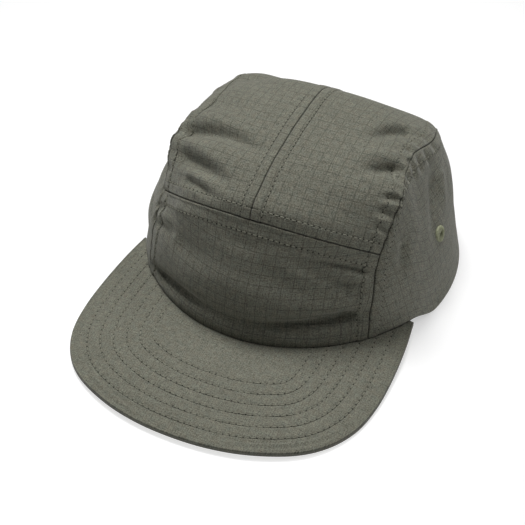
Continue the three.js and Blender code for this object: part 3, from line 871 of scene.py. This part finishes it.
# A hidden solid that cuts the arch out of four panels and is then deleted
arch_shape = bmesh.new()
bmesh.ops.create_cone(
    arch_shape, cap_ends=True, segments=96, radius1=1, radius2=1, depth=1,
    matrix=Matrix.Translation(Vector((0, pattern_y + arch_cut_middle, 0)) / 1000)
    @ Matrix.Diagonal((arch_half_width / 1000, arch_cut_length / 1000, arch_height / 1000, 1))
    @ Matrix.Rotation(math.pi / 2, 4, "X"),
)
arch_cutter = object_from("arch_cutter", arch_shape)

rows = stations(222, 0.85, start_row=stitch_offset["front_high"], end_row=0)
columns = stations(68, 0.8, stitch_offset["centre"], stitch_offset["side_top"])
for side, name, node in ((1, "top_panel_left_cloth", "top_panel_left"),
                         (-1, "top_panel_right_cloth", "top_panel_right")):
    base = cloth_grid(
        lambda down, over, side=side: strip_point(front_seam + (1 - front_seam) * down, side * over),
        rows, columns,
    )
    top_panel, points = panel(
        name, base,
        (stitch_offset["front_high"], 0, stitch_offset["centre"], stitch_offset["side_top"]),
        (side * lengths_over(base, 1)[0] + 1.1 * side, lengths_over(base, 0)[0]),
        (arch_cutter,),
    )
    finish_piece(top_panel, crown_cloth, "crown_cloth", node)
    from_back = np.maximum.accumulate(arch_gap(points)[::-1], axis=0).T
    line = row_line(points[::-1].swapaxes(0, 1), from_back, arch_hem)
    crown_lines.append((line, outward(line)))


# Side panels: one of ripstop cotton on each side, from the front panel round to the opening at
# the back, sewn along its top. Each has a vent hole, which its embroidered eyelet finishes.
eyelet_around, eyelet_up = 0.393, 0.4
hole_radius, hole_cut_length = 3.6, 20
eyelet_places = {}
rows = stations(78, 0.8, start_row=0, end_row=stitch_offset["side"])
columns = stations(190, 0.85, stitch_offset["side"], stitch_offset["side"])
for side, name, node in ((1, "side_panel_left_cloth", "side_panel_left"),
                         (-1, "side_panel_right_cloth", "side_panel_right")):
    base = cloth_grid(lambda down, over, side=side: side_point(over, down, side), rows, columns)
    place = side_point(eyelet_around, eyelet_up, side)
    axis = outward(place)
    place = place + axis * fold_height(place[None])[0]
    eyelet_places[side] = (place, axis)
    hole_shape = bmesh.new()
    spin = Vector((0, 0, 1)).rotation_difference(Vector(axis)).to_matrix().to_4x4()
    bmesh.ops.create_cone(
        hole_shape, cap_ends=True, segments=32, depth=hole_cut_length / 1000,
        radius1=hole_radius / 1000, radius2=hole_radius / 1000,
        matrix=Matrix.Translation((Vector(place) + Vector((0, pattern_y, 0))) / 1000) @ spin,
    )
    hole_cutter = object_from("hole_cutter", hole_shape)
    from_front, from_back = lengths_over(base, 1)
    side_panel, points = panel(
        name, base,
        (0, stitch_offset["side"], stitch_offset["side"], stitch_offset["side"]),
        ((from_front - from_back) / 2, lengths_over(base, 0)[0]),
        (arch_cutter, hole_cutter),
    )
    finish_piece(side_panel, crown_cloth, "crown_cloth", node)
    bpy.data.objects.remove(hole_cutter)
    from_back = np.maximum.accumulate(arch_gap(points)[:, ::-1], axis=1)
    line = row_line(points[:, ::-1], from_back, arch_hem)
    crown_lines.append((line, outward(line)))
bpy.data.objects.remove(arch_cutter)


# Stitching of the crown: olive sewing thread in a row on each side of the seams, which holds
# their turned allowances down, and in one row round the hem of the arch.
stitched("crown_rows", "eyelet_thread", crown_lines, crown_stitch)


# Eyelets: satin stitch in lighter olive thread, sewn over the edge of each vent hole so that
# it can't fray. The stitches stand up as a ring over the cloth.
eyelet_thread = thread_material(
    "eyelet_thread", (0.3, 0.31, 0.22), 0.6, (0.17, 0.18, 0.11), (0.5, 0.52, 0.34), 1100, 3)
ring_inner, ring_outer, ring_half, ring_sink = 1.2, 4.6, 1.5, 0.4
thread_count = 34
for side, node in ((1, "eyelet_left"), (-1, "eyelet_right")):
    centre, axis = eyelet_places[side]
    centre = centre - ring_sink * axis
    first = np.cross(axis, (0, 0, 1))
    first = first / np.linalg.norm(first)
    second = np.cross(axis, first)
    turns = np.linspace(0, math.tau, 8 * thread_count, endpoint=False)[:, None]
    section = np.linspace(0, math.tau, 24, endpoint=False)[None, :]
    ridge = 0.5 + 0.5 * np.cos(thread_count * turns + np.sin(3 * turns))
    uneven = np.sin(5 * turns + 1) * 0.1 + np.sin(11 * turns) * 0.1
    middle, half = (ring_inner + ring_outer) / 2, (ring_outer - ring_inner) / 2
    radius = middle + (half + uneven * 0.6) * np.cos(section) * (0.94 + 0.06 * ridge)
    lift = (ring_half - 0.3 + 0.3 * ridge) * np.sign(np.sin(section)) * np.abs(
        np.sin(section)) ** 0.7
    points = (centre + axis * lift[..., None]
              + radius[..., None] * (np.cos(turns)[..., None] * first
                                     + np.sin(turns)[..., None] * second))
    faces = turned_over(grid_faces(*points.shape[:2], ring=True))
    eyelet = mesh_piece(f"{node}_embroidery", points.reshape(-1, 3), faces)
    finish_piece(eyelet, eyelet_thread, "eyelet_thread", node)


# Back strap: woven cotton webbing that crosses the opening at the back. It lies inside the
# crown, and a box of stitches holds each end on the side panel.
strap_lift, strap_height, strap_depth, strap_thickness = 3, 20, 2.2, 1.4
strap_half_length = arch_half_width + 13
up_steps = np.linspace(0, 1, 200)
seam_up_back = through(side_seam, 1 - (1 - back_corner) * up_steps)


def inside_point(reach, height, depth):
    """Point inside the crown at the back: reach round it from the middle, height, depth."""
    reach, height, depth = np.broadcast_arrays(reach, height, depth)
    upward = np.interp(height, seam_up_back[:, 2], up_steps)
    seam_at = through(side_seam, 1 - (1 - back_corner) * upward)[..., 0]
    on_top = strip_point(1 - (1 - back_corner) * upward, reach / seam_at)
    past = np.maximum(0, np.abs(reach) - seam_at)
    around = 1 - past / (rim_half_width * (back_angle - front_angle))
    on_side = side_point(around, upward)
    on_side[..., 0] *= np.sign(reach)
    point = np.where((past > 0)[..., None], on_side, on_top)
    return point - outward(point) * np.asarray(depth)[..., None]


def rounded_loop(half_width, half_depth, radius, steps):
    """Closed rounded rectangle as two arrays."""
    turns = np.linspace(0, math.tau, 4 * steps, endpoint=False) + math.pi / (4 * steps)
    corner_x = np.sign(np.cos(turns)) * (half_width - radius)
    corner_y = np.sign(np.sin(turns)) * (half_depth - radius)
    return corner_x + radius * np.cos(turns), corner_y + radius * np.sin(turns)


def along_section(values, spread):
    """Values of a closed loop with extra points on its long sides."""
    following = np.roll(values, -1)
    shares = np.linspace(0, 1, spread, endpoint=False)
    return (values[:, None] * (1 - shares) + following[:, None] * shares).ravel()


strap_y, strap_z = rounded_loop(strap_height / 2, strap_thickness / 2, 0.65, 3)
strap_y, strap_z = along_section(strap_y, 6), along_section(strap_z, 6)
strap_reach = np.linspace(-strap_half_length, strap_half_length, 131)
points = inside_point(
    strap_reach[None, :],
    strap_lift + strap_height / 2 + strap_y[:, None],
    strap_depth + strap_thickness / 2 + strap_z[:, None],
)
strap = mesh_piece(
    "back_strap_webbing", points.reshape(-1, 3), turned_over(sleeve_faces(*points.shape[:2])),
    weave=np.stack(np.broadcast_arrays(strap_reach[None, :], strap_y[:, None]), -1).reshape(-1, 2),
)
webbing_color = (0.115, 0.113, 0.088)
rib_gap, pick_gap = 1.1, 0.6
webbing, nodes, links, shader = new_material("strap_webbing", webbing_color, 0.8)
socket(shader, "Sheen Weight", 0.1)
_, parts = layer_parts(nodes, links, "weave")
ribs = math_node(nodes, links, "PINGPONG", parts["Y"], rib_gap / 2)
chevron = math_node(nodes, links, "ADD", parts["X"], ribs)
picks = math_node(nodes, links, "PINGPONG", chevron, pick_gap / 2)
weave_height = math_node(nodes, links, "MULTIPLY_ADD", ribs, 1.2, picks)
# Painted shade and light: the colour is darker in the hollows of the weave and lighter on its raised
# yarns.
tone = mapped(nodes, links, weave_height, 0, 0.9, 0.7, 1.25, kind="LINEAR")
shaded(nodes, links, shader, tone).default_value = webbing_color
bumped(nodes, links, shader, weave_height, 0.7, 0.0003)
finish_piece(strap, webbing, "strap_webbing", "back_strap")

# The boxes of stitches, on the inner face of the webbing
box_near, box_far, box_low, box_high = 40.0, 46.5, 6.0, 20.0
strap_lines = []
for side in (-1, 1):
    corners = np.array([
        (box_near, box_low), (box_far, box_low), (box_far, box_high), (box_near, box_high),
        (box_near, box_low),
    ])
    box_run = np.concatenate([
        np.linspace(start, end, 12, endpoint=False) for start, end in zip(corners[:-1], corners[1:])
    ])
    inner_line = inside_point(side * box_run[:, 0], box_run[:, 1], strap_depth + strap_thickness)
    strap_lines.append((inner_line, -outward(inner_line)))
stitched("strap_box", "eyelet_thread", strap_lines, 2.4)


# Slide: one plain loop of dark moulded plastic with rounded lips. The strap runs through it,
# and it is what the wearer slides along to set the size.
slide_half_width, slide_wall, slide_play = 6, 1.6, 0.3
loop_y, loop_z = rounded_loop(
    strap_height / 2 + slide_play, strap_thickness / 2 + slide_play, 0.5, 5)
loop_y, loop_z = along_section(loop_y, 3), along_section(loop_z, 3)
step_y = np.roll(loop_y, -1) - np.roll(loop_y, 1)
step_z = np.roll(loop_z, -1) - np.roll(loop_z, 1)
out_y, out_z = step_z / np.hypot(step_y, step_z), -step_y / np.hypot(step_y, step_z)
lip_reach, lip_wall = rounded_loop(slide_half_width, slide_wall / 2, 0.7, 4)
lip_reach, lip_wall = along_section(lip_reach, 3), along_section(lip_wall, 3)
wall = slide_wall / 2 + lip_wall
points = inside_point(
    lip_reach[None, :],
    strap_lift + strap_height / 2 + loop_y[:, None] + wall[None, :] * out_y[:, None],
    strap_depth + strap_thickness / 2 + loop_z[:, None] + wall[None, :] * out_z[:, None],
)
slide_faces = grid_faces(*points.shape[:2], ring=True)
slide = mesh_piece("strap_slide_loop", points.reshape(-1, 3), slide_faces)
plastic, nodes, links, shader = new_material("slide_plastic", (0.02, 0.021, 0.02), 0.42)
slide_place = nodes.new("ShaderNodeTexCoord")
slide_noise = noise_over(nodes, links, slide_place.outputs["Object"], 700, 3)
slide_roughness = math_node(nodes, links, "MULTIPLY_ADD", slide_noise, 0.2, 0.32)
links.new(slide_roughness, shader.inputs["Roughness"])
bumped(nodes, links, shader, slide_noise, 0.2, 0.0001)
finish_piece(slide, plastic, "slide_plastic", "strap_slide")


# Floor: a plain pale sheet with painted light: its emission glows round the cap, brightest in front
# of the peak, where it washes out the cast shadow. The glow fades out with distance, and under the
# crown it is cut to nearly nothing, as painted shade.
floor_shape = bmesh.new()
bmesh.ops.create_grid(floor_shape, x_segments=1, y_segments=1, size=3)
floor = object_from("floor", floor_shape)
floor_material, nodes, links, shader = new_material("floor_paper_painted_light", (0.55, 0.55, 0.55), 0.9)
floor_place = nodes.new("ShaderNodeTexCoord")


def by_distance(spot, start, end, low, high):
    """Value that runs from low to high with the distance from a spot on the floor."""
    away = nodes.new("ShaderNodeVectorMath")
    away.operation = "DISTANCE"
    away.inputs[1].default_value = spot
    links.new(floor_place.outputs["Object"], away.inputs[0])
    return mapped(nodes, links, away.outputs["Value"], start, end, low, high)


# Painted light: emission over the floor, fading with distance from the cap.
broad = by_distance((0, 0, 0), 0.24, 0.6, 0.5, 0.1)
# Painted light: extra emission in front of the peak, washing out its cast shadow.
painted_light_before_peak = by_distance((-0.04, -0.14, 0), 0.1, 0.2, 0.17, 0)
# Painted shade: the glow is cut to nearly nothing under the crown.
painted_shade_under_crown = by_distance((0, pattern_y / 1000, 0), 0.06, 0.085, 0.05, 1)
painted_floor_light = math_node(nodes, links, "ADD", broad, painted_light_before_peak)
painted_floor_light = math_node(nodes, links, "MULTIPLY", painted_floor_light, painted_shade_under_crown)
socket(shader, "Emission Color", (1, 1, 1, 1))
links.new(painted_floor_light, shader.inputs["Emission Strength"])
floor.data.materials.append(floor_material)


# Light: a broad soft light high behind the wearer's right, a weaker one from the wearer's left,
# another overhead, and a dim room
light_distance, light_target = 2.0, Vector((0, 0, 0.04))


def soft_light(name, turn, height, size, power):
    """Disc of light that faces the cap; turn is from the front, towards the wearer's left."""
    turn, height = math.radians(turn), math.radians(height)
    towards = Vector((
        math.sin(turn) * math.cos(height), -math.cos(turn) * math.cos(height), math.sin(height)))
    data = bpy.data.lights.new(name, "AREA")
    data.shape = "DISK"
    data.size = size
    data.energy = power
    light = bpy.data.objects.new(name, data)
    bpy.context.collection.objects.link(light)
    light.location = towards * light_distance + light_target
    light.rotation_euler = (-towards).to_track_quat("-Z", "Y").to_euler()


soft_light("key_light", turn=225, height=68, size=0.75, power=33.5)
soft_light("side_light", turn=120, height=55, size=0.85, power=7)
soft_light("overhead_light", turn=0, height=84, size=1.0, power=4)
world = bpy.data.worlds.new("room")
world.use_nodes = True
room = world.node_tree.nodes["Background"]
socket(room, "Color", (0.95, 0.97, 1, 1))
socket(room, "Strength", 0.03)
bpy.context.scene.world = world
bpy.context.scene.view_settings.view_transform = "Standard"


# Camera: a long lens looks down on the cap from in front, a little to the wearer's left.
azimuth, elevation, roll = (math.radians(angle) for angle in (24.46, 41.21, 0.67))
camera_distance, picture_pixels, focal_pixels = 0.6825, 525, 1295.87
look_at = Vector((0.44, pattern_y - 57.9, 31.5)) / 1000
backwards = Vector((
    math.sin(azimuth) * math.cos(elevation),
    -math.cos(azimuth) * math.cos(elevation),
    math.sin(elevation),
))
level_right = Vector((math.cos(azimuth), math.sin(azimuth), 0))
level_up = backwards.cross(level_right)
right = math.cos(roll) * level_right + math.sin(roll) * level_up
up = -math.sin(roll) * level_right + math.cos(roll) * level_up
camera_data = bpy.data.cameras.new("camera")
camera_data.sensor_width = 36
camera_data.lens = camera_data.sensor_width * focal_pixels / picture_pixels
camera = bpy.data.objects.new("camera", camera_data)
bpy.context.collection.objects.link(camera)
turn = Matrix((right, up, backwards)).transposed().to_4x4()
camera.matrix_world = Matrix.Translation(look_at + backwards * camera_distance) @ turn
bpy.context.scene.camera = camera
